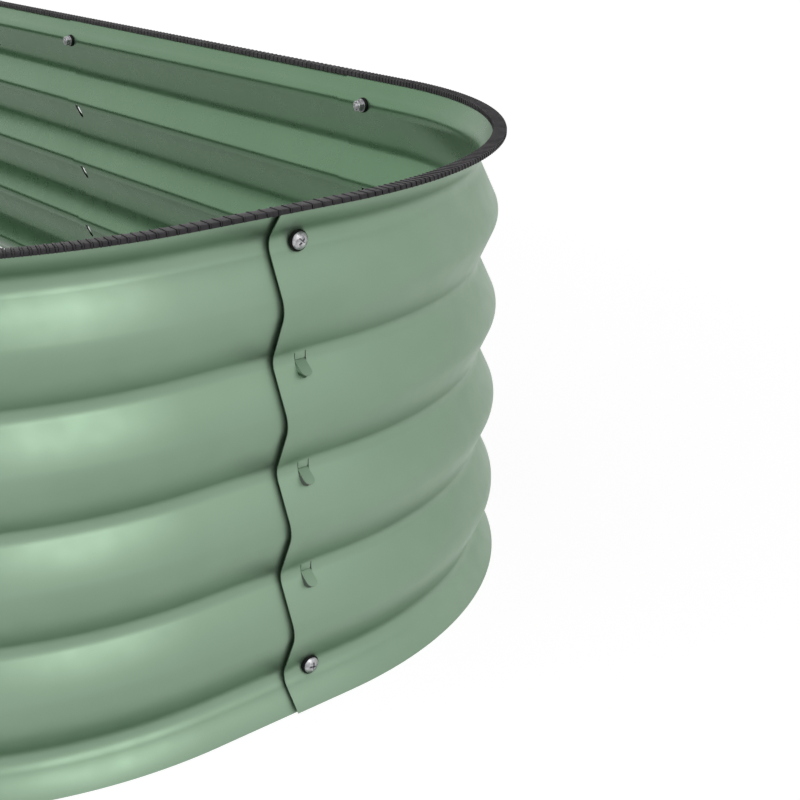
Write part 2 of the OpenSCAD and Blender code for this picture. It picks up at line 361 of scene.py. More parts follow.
@dataclass(frozen=True)
class FastenerShape:
    """Sizes of a bolt, its washers and its nut, and where each sits on the bolt's axis.

    Attributes:
        recess_taper: Depth below the head's crown and share of the full width, from the recess's floor up.
        rubber_section: Distance from the washer's edge and share of its thickness, round its section.
        nut_face: Share of the distance between the flats that the nut's chamfer leaves flat.
    """

    hole_d: float = 6 * MM
    bolt_d: float = 5 * MM
    bolt_l: float = 13.5 * MM
    thread_pitch: float = 0.8 * MM
    thread_depth: float = 0.4 * MM
    thread_l: float = 8 * MM
    head_d: float = 9.8 * MM
    head_h: float = 3 * MM
    recess_w: float = 1.1 * MM
    recess_span: float = 5.4 * MM
    recess_taper: tuple[Pair, ...] = ((1.6 * MM, 0.5), (0.4 * MM, 1.0), (-0.5 * MM, 1.1))
    rubber_d: float = 11.6 * MM
    outer_rubber_t: float = 0.8 * MM
    inner_rubber_t: float = 2 * MM
    steel_washer_d: float = 10.4 * MM
    steel_washer_t: float = 1 * MM
    nut_af: float = 8 * MM
    nut_h: float = 4 * MM
    head_rim: float = 0.7 * MM
    head_soft: float = 0.25 * MM
    neck_flare: float = 0.3 * MM
    tip_chamfer: float = 0.7 * MM
    tip_in: float = 0.75 * MM
    rubber_section: tuple[Pair, ...] = (
        (0.25 * MM, 0.0), (0.0, 0.2), (0.0, 0.7), (0.3 * MM, 1.0), (1.6 * MM, 1.0))
    washer_soft: float = 0.15 * MM
    nut_face: float = 0.96
    nut_chamfer: float = math.radians(30)
    nut_sink: float = 0.4 * MM
    seat_gap: float = 0.1 * MM
    washer_gap: float = 0.2 * MM
    thread_gap: float = 0.05 * MM


@dataclass(frozen=True)
class BedPlan:
    """Plan of the bed and of the seams between its panels."""

    corner_r: float = 258 * MM
    end_short_tail: float = 21 * MM
    end_long_tail: float = 70 * MM
    side_tail: float = 35 * MM
    seam_pitch: float = 486 * MM
    side_panels: int = 3
    bolt_inset: float = 18.5 * MM
    corner_lap: float = 34 * MM
    lap_step: float = 1.9 * MM

    @property
    def mid_bend_y(self) -> float:
        """Distance of a corner bend's centre from the bed's long axis."""
        return (self.end_short_tail + self.end_long_tail) / 2

    @property
    def side_wall_y(self) -> float:
        """Distance of the side walls from the bed's long axis."""
        return self.mid_bend_y + self.corner_r

    @property
    def side_seam_x(self) -> float:
        """Distance of the outermost side seams from the bed's middle."""
        return self.side_panels * self.seam_pitch / 2

    @property
    def bend_x(self) -> float:
        """Distance of a corner bend's centre from the bed's middle."""
        return self.side_seam_x + self.side_tail

    @property
    def end_wall_x(self) -> float:
        """Distance of the end walls from the bed's middle."""
        return self.bend_x + self.corner_r

    def seams(self, row: SeamRow) -> list[Point3]:
        """Seams of a row as x, y and the direction that the wall faces there, in radians."""
        if row is SeamRow.END:
            offset = (self.end_long_tail - self.end_short_tail) / 2
            return [(self.end_wall_x, offset, 0.0), (-self.end_wall_x, -offset, math.pi)]
        sign = 1 if row is SeamRow.BACK else -1
        return [
            (sign * (self.side_seam_x - k * self.seam_pitch), sign * self.side_wall_y, sign * math.pi / 2)
            for k in range(self.side_panels + 1)
        ]


@dataclass(frozen=True)
class Route:
    """A line on the ground that a piece of wall follows: straight, then bends and straights in turn.

    Attributes:
        start: Where the line starts.
        heading: The direction in which it sets off, in radians.
        straights: Lengths of the straight stretches.
        bend_r: Radius of the left-hand quarter bend between each two straights.
    """

    start: Point2
    heading: float
    straights: tuple[float, ...]
    bend_r: float
    bend_steps: int = 90

    @property
    def bend_l(self) -> float:
        """Length of one quarter bend."""
        return self.bend_r * math.pi / 2

    @property
    def length(self) -> float:
        """Length of the whole line."""
        return sum(self.straights) + (len(self.straights) - 1) * self.bend_l

    def bends(self) -> list[Point2]:
        """Where each bend starts and ends, as distances along the line."""
        spans, along = [], 0.0
        for stretch in self.straights[:-1]:
            spans.append((along + stretch, along + stretch + self.bend_l))
            along = spans[-1][1]
        return spans

    def turned_round(self) -> "Route":
        """The same line after half a turn about the bed's middle."""
        return Route((-self.start[0], -self.start[1]), self.heading + math.pi, self.straights, self.bend_r)

    def curve(self, name: str) -> Object:
        """Draws the line as a helper curve."""
        x, y = self.start
        heading = self.heading
        points = [(x, y, 0.0)]
        for i, stretch in enumerate(self.straights):
            x, y = x + stretch * math.cos(heading), y + stretch * math.sin(heading)
            points.append((x, y, 0.0))
            if i == len(self.straights) - 1:
                break
            centre = (x - self.bend_r * math.sin(heading), y + self.bend_r * math.cos(heading))
            for step in range(1, self.bend_steps + 1):
                a = heading - math.pi / 2 + step / self.bend_steps * math.pi / 2
                points.append((
                    centre[0] + self.bend_r * math.cos(a), centre[1] + self.bend_r * math.sin(a), 0.0))
            x, y = points[-1][:2]
            heading += math.pi / 2
        return poly_curve(name, points)


def route_place(
    tree: NodeTree,
    route: NodeSocket,
    along: NodeSocket,
    reach: NodeSocket,
    height: NodeSocket,
) -> tuple[NodeSocket, NodeSocket]:
    """Adds the nodes that turn along, reach and height into a place on a route.

    Args:
        tree: The geometry tree.
        route: Object socket of the route's curve.
        along: Distance along the route.
        reach: Distance outwards from it.
        height: Height above it.

    Returns:
        The place, and the outward direction there.
    """
    curve = add_node(tree, "GeometryNodeObjectInfo", {"Object": route})
    spot = add_node(tree, "GeometryNodeSampleCurve", {"Curves": curve.outputs["Geometry"], "Length": along},
                    mode="LENGTH", use_all_curves=True)
    outward = add_node(tree, "ShaderNodeVectorMath", {0: spot.outputs["Tangent"], 1: (0, 0, 1)},
                       operation="CROSS_PRODUCT")
    unit = add_node(tree, "ShaderNodeVectorMath", {0: outward}, operation="NORMALIZE")
    aside = add_node(tree, "ShaderNodeVectorMath", {0: unit, "Scale": reach}, operation="SCALE")
    up = add_node(tree, "ShaderNodeCombineXYZ", {"Z": height})
    moved = add_node(tree, "ShaderNodeVectorMath", {0: spot.outputs["Position"], 1: aside},
                     operation="ADD")
    place = add_node(tree, "ShaderNodeVectorMath", {0: moved, 1: up}, operation="ADD")
    return place.outputs[0], unit.outputs[0]


def forming_tree() -> NodeTree:
    """Tree that presses a flat blank into the corrugated section and rolls it along its route.

    The blank's X is the distance along the route, its Y the distance down the section and its Z the
    distance from the middle of the sheet. Where the attribute pressed is one, Y and Z are the reach
    and the height of a tongue or a lip, which the tree only rolls.
    """
    tree, entry = new_tree("form_wall_panel", {
        "Section": "NodeSocketObject", "Route": "NodeSocketObject", "Wall height": "NodeSocketFloat"})
    place = add_node(tree, "ShaderNodeSeparateXYZ", {0: add_node(tree, "GeometryNodeInputPosition")})
    pressed = add_node(tree, "GeometryNodeInputNamedAttribute", {"Name": "pressed"}, data_type="FLOAT")
    section = add_node(tree, "GeometryNodeObjectInfo", {"Object": entry.outputs["Section"]})
    spot = add_node(tree, "GeometryNodeSampleCurve",
                    {"Curves": section.outputs["Geometry"], "Length": place.outputs["Y"]},
                    mode="LENGTH", use_all_curves=True)
    at = add_node(tree, "ShaderNodeSeparateXYZ", {0: spot.outputs["Position"]})
    slope = add_node(tree, "ShaderNodeSeparateXYZ", {0: spot.outputs["Tangent"]})
    face_out = add_node(tree, "ShaderNodeMath", {0: slope.outputs["Z"], 1: -1.0}, operation="MULTIPLY")
    reach = add_node(tree, "ShaderNodeMath", {
        0: face_out, 1: place.outputs["Z"], 2: at.outputs["X"]}, operation="MULTIPLY_ADD")
    height = add_node(tree, "ShaderNodeMath", {
        0: slope.outputs["X"], 1: place.outputs["Z"], 2: at.outputs["Z"]}, operation="MULTIPLY_ADD")
    cut = add_node(tree, "ShaderNodeClamp",
                   {"Value": height, "Min": 0.0, "Max": entry.outputs["Wall height"]})
    tab = {"Factor": pressed}
    final_reach = add_node(tree, "ShaderNodeMix", {**tab, 2: reach, 3: place.outputs["Y"]})
    final_height = add_node(tree, "ShaderNodeMix", {**tab, 2: cut, 3: place.outputs["Z"]})
    target, outward = route_place(tree, entry.outputs["Route"], place.outputs["X"],
                                  final_reach.outputs[0], final_height.outputs[0])
    level = add_node(tree, "ShaderNodeVectorMath", {0: outward, "Scale": face_out}, operation="SCALE")
    tip = add_node(tree, "ShaderNodeCombineXYZ", {"Z": slope.outputs["X"]})
    normal = add_node(tree, "ShaderNodeVectorMath", {0: level, 1: tip}, operation="ADD")
    faced = add_node(tree, "GeometryNodeStoreNamedAttribute",
                     {"Geometry": entry.outputs["Geometry"], "Name": "facing", "Value": normal},
                     data_type="FLOAT_VECTOR", domain="POINT")
    formed = add_node(tree, "GeometryNodeSetPosition", {"Geometry": faced, "Position": target})
    return end_tree(tree, entry, formed)


def bending_tree() -> NodeTree:
    """Tree that sets lands and ribs on a straight rubber strip and bends the whole round the rim."""
    tree, entry = new_tree("bend_edge_trim", {
        "Land": "NodeSocketObject", "Rib": "NodeSocketObject", "Strip": "NodeSocketObject",
        "Route": "NodeSocketObject"})
    stretch = add_node(tree, "GeometryNodeInputNamedAttribute", {"Name": "land_l"}, data_type="FLOAT")
    is_land = add_node(tree, "FunctionNodeCompare", {"A": stretch, "B": 0.0},
                       data_type="FLOAT", operation="GREATER_THAN")
    is_rib = add_node(tree, "FunctionNodeBooleanMath", {0: is_land}, operation="NOT")
    size = add_node(tree, "ShaderNodeCombineXYZ", {"X": stretch, "Y": 1.0, "Z": 1.0})
    parts = []
    for label, chosen, scale in (("Land", is_land, size.outputs[0]), ("Rib", is_rib, (1.0, 1.0, 1.0))):
        shape = add_node(tree, "GeometryNodeObjectInfo", {
            "Object": entry.outputs[label], "As Instance": True})
        parts.append(add_node(tree, "GeometryNodeInstanceOnPoints", {
            "Points": entry.outputs["Geometry"], "Selection": chosen,
            "Instance": shape.outputs["Geometry"], "Scale": scale}))
    strip = add_node(tree, "GeometryNodeObjectInfo", {"Object": entry.outputs["Strip"]})
    joined = add_node(tree, "GeometryNodeJoinGeometry")
    for source in (parts[0].outputs[0], parts[1].outputs[0], strip.outputs["Geometry"]):
        tree.links.new(source, joined.inputs[0])
    real = add_node(tree, "GeometryNodeRealizeInstances", {"Geometry": joined})
    place = add_node(tree, "ShaderNodeSeparateXYZ", {0: add_node(tree, "GeometryNodeInputPosition")})
    target, _ = route_place(tree, entry.outputs["Route"], *(place.outputs[axis] for axis in "XYZ"))
    bent = add_node(tree, "GeometryNodeSetPosition", {"Geometry": real, "Position": target})
    return end_tree(tree, entry, bent)


def fastening_tree() -> NodeTree:
    """Tree that sets one fastener at every bolt of a row of seams, each turned by chance about its axis."""
    tree, entry = new_tree("set_fasteners", {
        "Piece": "NodeSocketObject", "Spin": "NodeSocketFloat", "Seed": "NodeSocketInt"})
    facing = add_node(tree, "GeometryNodeInputNamedAttribute", {"Name": "facing"}, data_type="FLOAT")
    spin = add_node(tree, "FunctionNodeRandomValue", {
        3: entry.outputs["Spin"], "Seed": entry.outputs["Seed"]}, data_type="FLOAT")
    turn = add_node(tree, "ShaderNodeCombineXYZ", {"X": spin.outputs[1], "Z": facing})
    shape = add_node(tree, "GeometryNodeObjectInfo", {"Object": entry.outputs["Piece"], "As Instance": True})
    set_on = add_node(tree, "GeometryNodeInstanceOnPoints", {
        "Points": entry.outputs["Geometry"], "Instance": shape.outputs["Geometry"], "Rotation": turn})
    return end_tree(tree, entry, set_on)


def loop_clearance(loop: Sequence[Point2], spot: Point2) -> float:
    """Measures how far a spot lies outside a closed loop.

    Args:
        loop: Corners of the loop.
        spot: The spot in the same plane.

    Returns:
        The distance to the loop's line, with a minus sign where the spot is inside.
    """
    inside, nearest = False, math.inf
    for (x0, y0), (x1, y1) in zip(loop, [*loop[1:], loop[0]]):
        if (y0 > spot[1]) != (y1 > spot[1]) and spot[0] < x0 + (spot[1] - y0) / (y1 - y0) * (x1 - x0):
            inside = not inside
        span = ((x1 - x0) ** 2 + (y1 - y0) ** 2) or 1e-18
        share = min(1.0, max(0.0, ((spot[0] - x0) * (x1 - x0) + (spot[1] - y0) * (y1 - y0)) / span))
        nearest = min(nearest, math.hypot(x0 + share * (x1 - x0) - spot[0], y0 + share * (y1 - y0) - spot[1]))
    return -nearest if inside else nearest


@dataclass
class Blank:
    """Flat sheet with openings, as it is before it is pressed and rolled.

    Attributes:
        columns: Places of the grid's lines across the panel, as distances along it.
        rows: Places of the grid's lines along the panel, as distances down the sheet.
        openings: Loops of points, each of which is cut through the sheet.
        margin: Sheet between an opening and the plain grid round it, at least.
    """

    columns: Sequence[float]
    rows: Sequence[float]
    openings: Sequence[Sequence[Point2]]
    margin: float = 1.5 * MM
    points: list[Point2] = field(default_factory=list)
    faces: list[Face] = field(default_factory=list)

    def __post_init__(self) -> None:
        """Draws the grid, with triangles round the openings."""
        self._known: dict[tuple[int, int], int] = {}
        windows = [self._window(loop) for loop in self.openings]
        for i in range(len(self.columns) - 1):
            for j in range(len(self.rows) - 1):
                if not any(a <= i < b and c <= j < d for a, b, c, d in windows):
                    self.faces.append(tuple(
                        self._index((self.columns[x], self.rows[y]))
                        for x, y in ((i, j), (i + 1, j), (i + 1, j + 1), (i, j + 1))))
        for loop, window in zip(self.openings, windows):
            self._fill(loop, window)

    def _index(self, point: Point2) -> int:
        """Finds a point's number, and adds the point where it is new."""
        key = (round(point[0] * 1e7), round(point[1] * 1e7))
        if key not in self._known:
            self._known[key] = len(self.points)
            self.points.append(point)
        return self._known[key]

    def _window(self, loop: Sequence[Point2]) -> tuple[int, int, int, int]:
        """Finds the grid lines round an opening: first and last column, first and last row."""
        found: list[int] = []
        for lines, values in ((self.columns, [p[0] for p in loop]), (self.rows, [p[1] for p in loop])):
            found.append(int(np.searchsorted(lines, min(values) - self.margin, "right")) - 1)
            found.append(int(np.searchsorted(lines, max(values) + self.margin)))
        return found[0], found[1], found[2], found[3]

    def _fill(self, loop: Sequence[Point2], window: tuple[int, int, int, int]) -> None:
        """Fills the window round an opening with triangles.

        Args:
            loop: The opening.
            window: Grid lines of the window.
        """
        first, last, top, foot = window
        rim = ([(i, top) for i in range(first, last)] + [(last, j) for j in range(top, foot)]
               + [(i, foot) for i in range(last, first, -1)] + [(first, j) for j in range(foot, top, -1)])
        spots = [(self.columns[i], self.rows[j]) for i, j in rim]
        edges = [(k, (k + 1) % len(spots)) for k in range(len(spots))]
        base = len(spots)
        spots += loop
        edges += [(base + k, base + (k + 1) % len(loop)) for k in range(len(loop))]
        for i in range(first + 1, last):
            for j in range(top + 1, foot):
                spot = (self.columns[i], self.rows[j])
                if loop_clearance(loop, spot) > self.margin / 2:
                    spots.append(spot)
        flat = [Vector((x / MM, y / MM)) for x, y in spots]
        placed, _, triangles, *_ = delaunay_2d_cdt(flat, edges, [], 0, 1e-5)
        for triangle in triangles:
            corners = [(placed[k][0] * MM, placed[k][1] * MM) for k in triangle]
            middle = (sum(x for x, _ in corners) / 3, sum(y for _, y in corners) / 3)
            if loop_clearance(loop, middle) > 0:
                self.faces.append(tuple(self._index(corner) for corner in corners))

    def solid(self, thickness: float) -> Shell:
        """Gives the blank its thickness.

        Args:
            thickness: Thickness of the sheet.

        Returns:
            Points, faces and each face's side.
        """
        count = len(self.points)
        points = [(x, y, half) for half in (thickness / 2, -thickness / 2) for x, y in self.points]
        faces = list(self.faces)
        faces += [tuple(k + count for k in reversed(face)) for face in self.faces]
        sides = [Side.OUTER.value] * len(self.faces) + [Side.INNER.value] * len(self.faces)
        used = {(face[k], face[(k + 1) % len(face)]) for face in self.faces for k in range(len(face))}
        for a, b in sorted(used):
            if (b, a) not in used:
                faces.append((b, a, a + count, b + count))
                sides.append(Side.CUT.value)
        return points, faces, sides


@dataclass
class WallPanel:
    """One panel of painted sheet: corrugated, rolled along its route, with holes, slots, lips and tongues.

    Attributes:
        node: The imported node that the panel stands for.
        route: The line that it follows.
        end_line: Distance from its start to its far column of bolts and tongues.
        start_line: Distance from its start to its near column of bolts and slots.
        flank_bow: Share by which the flanks' shading leans on towards a valley and back at a crest.
        edge_spring: How far the free edge of the lapping sheet stands off, over spring_l.
    """

    node: str
    route: Route
    end_line: float
    start_line: float = BedPlan.bolt_inset
    profile: SheetProfile = SheetProfile()
    hooks: HookShape = HookShape()
    fasteners: FastenerShape = FastenerShape()
    column_offset: float = 5.6 * MM
    bend_columns: int = 64
    bend_rows: int = 12
    tip_steps: int = 6
    foot_steps: int = 16
    side_steps: int = 6
    hole_steps: int = 32
    flank_bow: float = 0.45
    edge_spring: float = 1.5 * MM
    spring_l: float = 12 * MM

    def _down(self, heights: Iterable[float]) -> list[float]:
        """Turns heights into distances down the sheet from the rim."""
        line = np.array(self.profile.line(4 * self.bend_rows))
        run = np.concatenate([[0.0], np.cumsum(np.hypot(*np.diff(line, axis=0).T))])
        return [float(d) for d in np.interp([-h for h in heights], -line[:, 1], run)]

    def _unrolled(self, outline: Sequence[Point2]) -> list[Point2]:
        """Turns the heights of an outline into distances down the sheet."""
        return list(zip([x for x, _ in outline], self._down(h for _, h in outline)))

    def _round_foot(self, line: float, width: float, top: float, foot: float) -> list[Point2]:
        """Draws an upright opening with a round foot.

        Args:
            line: The opening's middle along the panel.
            width: Its width.
            top: Height of its straight top.
            foot: Height of the lowest point of its round foot.

        Returns:
            Its outline on the blank.
        """
        half = width / 2
        middle = foot + half
        outline = [(line + half * math.cos(a), middle + half * math.sin(a))
                   for a in np.linspace(math.pi, 2 * math.pi, self.foot_steps + 1)]
        sides = [float(h) for h in np.linspace(middle, top, self.side_steps + 1)[1:]]
        outline += [(line + half, h) for h in sides]
        outline += [(line + half * share, top) for share in (0.5, 0.0, -0.5)]
        outline += [(line - half, h) for h in reversed(sides)]
        return self._unrolled(outline)

    def _openings(self) -> list[list[Point2]]:
        """Lists the openings in the blank: bolt holes, slots and the gaps that the tongues leave."""
        heights = self.profile.valley_heights
        hooks, bore = self.hooks, self.fasteners.hole_d / 2
        loops = []
        for line in (self.start_line, self.end_line):
            for height in (heights[0], heights[-1]):
                loops.append(self._unrolled([
                    (line + bore * math.cos(a), height + bore * math.sin(a))
                    for a in np.linspace(0, 2 * math.pi, self.hole_steps, endpoint=False)]))
        for height in heights[1:-1]:
            loops.append(self._round_foot(self.start_line, hooks.slot_w, height + hooks.slot_rise,
                                          height - hooks.slot_drop))
            root = height - hooks.tongue_drop
            loops.append(self._round_foot(self.end_line, hooks.tongue_w + 2 * hooks.tongue_slit, root,
                                          root - hooks.tongue_l - hooks.tongue_slit))
        return loops

    def _columns(self) -> list[float]:
        """Lists the grid's lines across the panel."""
        columns = {0.0, self.route.length}
        for first, last in self.route.bends():
            columns.update(np.linspace(first, last, self.bend_columns + 1).tolist())
        for line in (self.start_line, self.end_line):
            columns.update((line - self.column_offset, line, line + self.column_offset))
        return sorted(columns)

    def _tab(self, line: float, spine: Sequence[Point2], half_widths: Sequence[float]) -> Shell:
        """Makes a pressed tab as a closed shell of the sheet's thickness.

        Args:
            line: The tab's middle along the panel.
            spine: Reach and height of its middle line, from the root to the tip.
            half_widths: Half of its width at each point of the spine.

        Returns:
            Points as along, reach and height, faces, and each face's side.
        """
        path = np.array(spine)
        slope = np.gradient(path, axis=0)
        slope /= np.hypot(*slope.T)[:, None]
        points: list[Point3] = []
        for (reach, height), (du, dz), half in zip(path, slope, half_widths):
            for x, e in ((-half, 0.5), (half, 0.5), (half, -0.5), (-half, -0.5)):
                shift = e * self.profile.sheet_t
                points.append((line + x, reach - dz * shift, height + du * shift))
        around = [Side.TAB.value, Side.CUT.value] * 2
        sides = [Side.CUT.value, *(around * (len(path) - 1)), Side.CUT.value]
        return points, tube_faces(len(around), len(path)), sides

    def _lip(self, height: float) -> Shell:
        """Makes the lip that hangs from the top of a slot and leans inwards."""
        hooks = self.hooks
        top = (self.profile.rise_at(hooks.slot_rise), height + hooks.slot_rise)
        lean = hooks.lip_lean
        spine = [(top[0] - d * math.sin(lean), top[1] - d * math.cos(lean))
                 for d in (-hooks.root_depth, 0.0, hooks.lip_bend, hooks.lip_h - hooks.lip_tip, hooks.lip_h)]
        half = hooks.slot_w / 2 - hooks.lip_side_gap
        return self._tab(self.start_line, spine, [half] * (len(spine) - 1) + [half - hooks.lip_tip_in])

    def _tongue(self, height: float) -> Shell:
        """Makes the tongue that is pressed outwards, bent over a small radius at its root."""
        hooks = self.hooks
        root = (self.profile.rise_at(hooks.tongue_drop), height - hooks.tongue_drop)
        half = hooks.tongue_w / 2
        shank = hooks.tongue_l - half
        turns = np.linspace(0, hooks.tip_turn, self.tip_steps + 1)
        straight = [-hooks.root_depth, 0.0, hooks.tongue_bend / 2, hooks.tongue_bend, shank / 2]
        spine = [(root[0] + d * math.sin(hooks.tongue_lean), root[1] - d * math.cos(hooks.tongue_lean))
                 for d in [*straight, *(shank + half * np.sin(turns))]]
        return self._tab(self.end_line, spine, [half] * len(straight) + list(half * np.cos(turns)))

    def blank(self) -> Mesh:
        """Makes the flat blank, with its tabs already pressed.

        Returns:
            A mesh for the forming tree, with the attributes side and pressed.
        """
        rows = self._down(h for _, h in self.profile.line(self.bend_rows))
        sheet = Blank(self._columns(), rows, self._openings())
        points, faces, sides = sheet.solid(self.profile.sheet_t)
        points = [(x, y, reach + self.edge_spring * max(0.0, 1 - x / self.spring_l) ** 2)
                  for x, y, reach in points]
        pressed = [0.0] * len(points)
        for height in self.profile.valley_heights[1:-1]:
            for tab_points, tab_faces, tab_sides in (self._lip(height), self._tongue(height)):
                faces += [tuple(k + len(points) for k in face) for face in tab_faces]
                points += tab_points
                pressed += [1.0] * len(tab_points)
                sides += tab_sides
        mesh = mesh_from(self.node, points, [face[::-1] for face in faces])
        mesh.attributes.new("side", "INT", "FACE").data.foreach_set("value", sides)
        mesh.attributes.new("pressed", "FLOAT", "POINT").data.foreach_set("value", pressed)
        return mesh

    def _bowed(self, mesh: Mesh, facing: np.ndarray) -> np.ndarray:
        """Turns the sheet's normals for flanks that bow a little outward, as rolled flanks do.

        Args:
            mesh: The formed panel.
            facing: Normals of its vertices, for flat flanks.

        Returns:
            Normals that lean less beside a crest and more beside a valley.
        """
        place = np.zeros(3 * len(mesh.vertices))
        mesh.vertices.foreach_get("co", place)
        line = np.array(self.profile.line(6))[::-1]
        reach = np.interp(place[2::3], line[:, 1], line[:, 0]) / (self.profile.depth / 2)
        level = np.hypot(facing[:, 0], facing[:, 1])
        lean = np.arctan2(facing[:, 2], level) * (1 - self.flank_bow * np.clip(reach, -1.0, 1.0))
        flat = facing[:, :2] / np.maximum(level, 1e-6)[:, None]
        return np.column_stack([flat * np.cos(lean)[:, None], np.sin(lean)])

    def build(self, tree: NodeTree, section: Object, finish: Material) -> Object:
        """Forms the panel and shades its faces as smooth sheet with crisp edges.

        Args:
            tree: The forming tree.
            section: Helper curve of the corrugated section.
            finish: The sheet's finish.

        Returns:
            The finished piece.
        """
        guide = self.route.curve(f"route_{self.node}")
        piece = grow(f"{self.node}_formed", self.blank(), tree, {
            "Section": section, "Route": guide, "Wall height": self.profile.wall_h, "Finish": finish})
        bpy.data.objects.remove(guide)
        mesh = piece.data
        facing = np.zeros(3 * len(mesh.vertices))
        mesh.attributes["facing"].data.foreach_get("vector", facing)
        facing = self._bowed(mesh, facing.reshape(-1, 3))
        sides = mesh.attributes["side"].data
        normals = []
        for face in mesh.polygons:
            side = sides[face.index].value
            rolled = side in (Side.OUTER.value, Side.INNER.value)
            normals += [tuple(facing[k] * side) if rolled else tuple(face.normal) for k in face.vertices]
        mesh.shade_smooth()
        mesh.normals_split_custom_set(normals)
        for name in ("facing", "pressed"):
            mesh.attributes.remove(mesh.attributes[name])
        return piece


@dataclass
class EdgeTrim:
    """Half of the rubber trim on the rim: smooth lands between thin raised ribs, on a channel strip.

    Attributes:
        node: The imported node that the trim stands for.
        route: The line under the wall that it follows.
        shift: Reach of its middle beyond the route.
    """

    node: str
    route: Route
    shift: float = SheetProfile.rim_reach + BedPlan.lap_step / 2
    rim_h: float = SheetProfile.wall_h
    width: float = 8.4 * MM
    rise: float = 1.5 * MM
    cap_t: float = 1.2 * MM
    outer_leg: float = 1.2 * MM
    inner_leg: float = 2.2 * MM
    channel_w: float = 5.6 * MM
    corner_r: float = 0.8 * MM
    rib_w: float = 0.8 * MM
    rib_proud: float = 0.35 * MM
    groove_w: float = 0.45 * MM
    groove_depth: float = 0.6 * MM
    shell_t: float = 0.6 * MM
    tight_pitch: float = 3.6 * MM
    end_spread: float = 3.5 * MM
    side_spread: float = 2.4 * MM
    spread_l: float = 66 * MM
    phase: float = 0.5
    crisp_angle: float = 35

    def _pitch(self, distance: float) -> float:
        """Spacing of the ribs at a distance from the middle of the end wall, tightest in the bends."""
        side = max(0.0, distance - self.route.straights[1] / 2 - self.route.bend_l)
        return (self.tight_pitch + self.end_spread * math.exp(-(distance / self.spread_l) ** 2)
                + self.side_spread * (1 - math.exp(-(side / self.spread_l) ** 2)))

    def _rib_places(self) -> list[float]:
        """Lists the ribs along the route, spaced out from the middle of the end wall."""
        middle = self.route.length / 2
        places = []
        for direction in (-1, 1):
            distance = self._pitch(0.0) * (self.phase if direction > 0 else 1 - self.phase)
            while distance < middle - self._pitch(distance) / 2:
                places.append(middle + direction * distance)
                distance += self._pitch(distance)
        return sorted(places)

    def _contour(self, proud: float) -> list[Point2]:
        """Draws the outside of the trim from its inner leg over the top to its outer leg.

        Args:
            proud: How far the line lies outside the plain section.

        Returns:
            Reach and height of its points.
        """
        half, top, r = self.width / 2, self.rim_h + self.rise, self.corner_r
        line = [(-half - proud, self.rim_h - self.inner_leg)]
        for centre, first in ((r - half, math.pi), (half - r, math.pi / 2)):
            line += [(centre + (r + proud) * math.cos(a), top - r + (r + proud) * math.sin(a))
                     for a in np.linspace(first, first - math.pi / 2, 4)]
        line.append((half + proud, self.rim_h - self.outer_leg))
        return [(self.shift + u, z) for u, z in line]

    def _bar(self, name: str, section: Sequence[Point2], places: Sequence[float]) -> Object:
        """Makes a closed bar of one section, with a ring of points at each place along it."""
        points = [(x, u, z) for x in places for u, z in section]
        return link_object(name, mesh_from(name, points, tube_faces(len(section), len(places))))

    def _arch(self, proud: float) -> list[Point2]:
        """Closed section of a land or a rib: a shell over the strip."""
        return self._contour(proud) + self._contour(proud - self.shell_t)[::-1]

    def build(self, tree: NodeTree, finish: Material) -> Object:
        """Sets lands and ribs on the strip and bends the whole round the rim.

        Args:
            tree: The bending tree.
            finish: The rubber's finish.

        Returns:
            The finished piece.
        """
        ribs = self._rib_places()
        stops = [0.0, *ribs, self.route.length]
        seats, lengths = [(x, 0, 0) for x in ribs], [0.0] * len(ribs)
        for k, (a, b) in enumerate(zip(stops, stops[1:])):
            first = a + (self.rib_w / 2 + self.groove_w if k else 0.0)
            last = b - (self.rib_w / 2 + self.groove_w if k < len(ribs) else 0.0)
            seats.append(((first + last) / 2, 0, 0))
            lengths.append(last - first)
        channel_middle = self.shift - (self.inner_leg - self.outer_leg) / 2
        left, right = channel_middle - self.channel_w / 2, channel_middle + self.channel_w / 2
        ceiling = self.rim_h + self.rise - self.cap_t
        strip_section = self._contour(-self.groove_depth) + [
            (right, self.rim_h - self.outer_leg), (right, ceiling),
            (left, ceiling), (left, self.rim_h - self.inner_leg)]
        helpers = {
            "Land": self._bar("land", self._arch(0.0), (-0.5, 0.5)),
            "Rib": self._bar("rib", self._arch(self.rib_proud), (-self.rib_w / 2, self.rib_w / 2)),
            "Strip": self._bar("strip", strip_section, stops),
            "Route": self.route.curve(f"route_{self.node}"),
        }
        seat_mesh = mesh_from(self.node, seats, [])
        seat_mesh.attributes.new("land_l", "FLOAT", "POINT").data.foreach_set("value", lengths)
        piece = grow(f"{self.node}_ribbed", seat_mesh, tree, {**helpers, "Finish": finish})
        for helper in helpers.values():
            bpy.data.objects.remove(helper)
        smooth_by_angle(piece.data, self.crisp_angle)
        LOG.info("%s: %d ribs", piece.name, len(ribs))
        return piece


